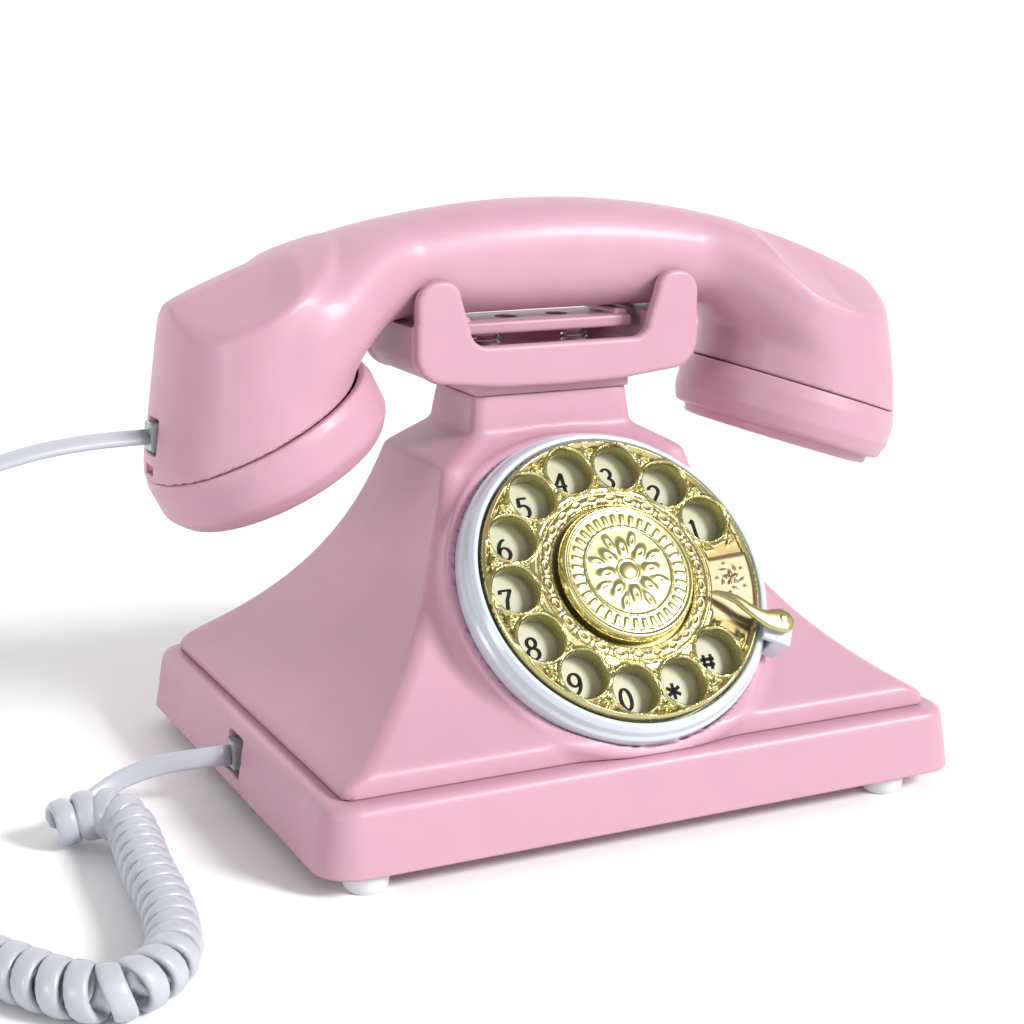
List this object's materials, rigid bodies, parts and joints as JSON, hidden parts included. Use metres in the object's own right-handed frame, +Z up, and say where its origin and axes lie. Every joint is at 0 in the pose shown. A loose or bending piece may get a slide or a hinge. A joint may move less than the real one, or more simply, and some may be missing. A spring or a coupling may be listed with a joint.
{
  "type": "telephone",
  "caption": "Desk telephone with a sloping square body, saddle cradle, rotary dial with finger holes, and a handset on a curly cord.",
  "frame": {"origin": "on the surface it stands on, under the middle of the overall box without the cord; the handset's middle is on the YZ plane and the base stands 4 mm to the left of it", "axes": "+Z up, -Y is the front that the dial faces, +X is on the user's right and runs along the handset"},
  "size_m": [0.3253, 0.1945, 0.1604],
  "materials": {
    "pink_plastic": "satin gloss",
    "white_plastic": "gloss",
    "gold_finish": "pale gold plating",
    "number_card": "satin",
    "steel": "zinc plated",
    "brass": "machined",
    "black_plastic": "matt",
    "circuit_board": "solder mask",
    "foam_rubber": "foam",
    "clear_plastic": "clear moulded plastic",
    "white_cord": "satin vinyl"
  },
  "bodies": {
    "base": {"base_skirt": "pink_plastic", "bottom_plate": "pink_plastic", "feet": "white_plastic", "body_shell": "pink_plastic", "body_screws": "steel", "cradle": "pink_plastic", "cradle_screws": "steel", "hook_bracket": "steel", "hook_switch": "black_plastic", "hook_springs": "steel", "dial_bezel": "white_plastic", "number_plate": "number_card", "dial_frame": "steel", "dial_bush": "brass", "dial_screws": "steel", "mainspring": "steel", "pulse_contacts": "black_plastic", "governor_housing": "steel", "stop_bracket": "white_plastic", "finger_stop": "gold_finish", "stop_screw": "gold_finish", "main_board": "circuit_board", "board_parts": "black_plastic", "board_posts": "steel", "ringer": "black_plastic", "ballast_weight": "steel", "ballast_screws": "brass", "base_jack": "black_plastic", "line_jack": "black_plastic", "ringer_switch": "black_plastic", "base_plug": "clear_plastic", "cord_base_tail": "white_cord", "cord_coil": "white_cord", "cord_handset_tail": "white_cord"},
    "dial": {"finger_wheel": "gold_finish", "centre_cap": "gold_finish", "dial_shaft": "steel", "main_gear": "brass"},
    "governor": {"governor_pinion": "brass", "governor_weights": "steel"},
    "hook": {"hook_bar": "pink_plastic", "hook_link": "white_plastic"},
    "handset": {"handset_shell": "pink_plastic", "earpiece_cap": "pink_plastic", "mouthpiece_cap": "pink_plastic", "receiver_capsule": "black_plastic", "transmitter_capsule": "black_plastic", "receiver_gasket": "foam_rubber", "transmitter_gasket": "foam_rubber", "handset_weight": "steel", "handset_jack": "black_plastic", "handset_plug": "clear_plastic"},
    "volume": {"ringer_switch_knob": "white_plastic"}
  },
  "joints": [
    {"name": "dial_turn", "type": "hinge", "parent": "base", "child": "dial", "pos_m": [-0.004, -0.0506, 0.0659], "axis": [0, -0.7944, 0.6074], "range_deg": [-335, 0], "stiffness_Nm_per_rad": 0.01},
    {"name": "governor_spin", "type": "hinge", "parent": "base", "child": "governor", "pos_m": [-0.03219, -0.04094, 0.0456], "axis": [0, -0.7944, 0.6074], "range_deg": [-4, 1356]},
    {"name": "handset_lift", "type": "slide", "parent": "base", "child": "handset", "axis": [0, 0, 1], "range_m": [0, 0.06]},
    {"name": "hook_travel", "type": "slide", "parent": "base", "child": "hook", "axis": [0, 0, 1], "range_m": [0, 0.0051], "deforming": ["hook_springs"]},
    {"name": "ringer_volume", "type": "slide", "parent": "base", "child": "volume", "axis": [1, 0, 0], "range_m": [-0.002, 0.002]}
  ],
  "couplings": [
    {"joint": "governor_spin", "follows": "dial_turn", "ratio": -4},
    {"joint": "hook_travel", "follows": "handset_lift", "ratio": 0.083333}
  ]
}
